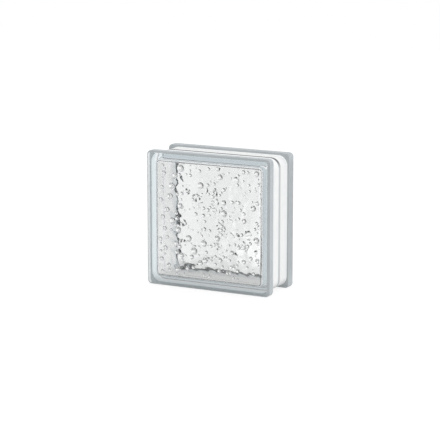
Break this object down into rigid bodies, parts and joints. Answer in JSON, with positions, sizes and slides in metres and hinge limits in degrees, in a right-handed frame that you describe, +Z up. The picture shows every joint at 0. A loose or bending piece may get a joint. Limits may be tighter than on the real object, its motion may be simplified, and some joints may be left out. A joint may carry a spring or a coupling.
{
  "type": "glass block",
  "caption": "Square hollow glass building block: two fused pressed halves, droplet-patterned clear panels, a rounded flange round each face and a mortar channel round the edge.",
  "frame": {"origin": "centre of the footprint, on the plane the lower flanges stand on", "axes": "+X across the face, +Y through the depth from the front face to the rear face, +Z up"},
  "size_m": [0.19, 0.08, 0.19],
  "materials": {
    "pressed_glass": "clear, fire polished, white coating in the mortar channel"
  },
  "bodies": {
    "root": {"front_half": "pressed_glass", "rear_half": "pressed_glass"}
  },
  "joints": []
}
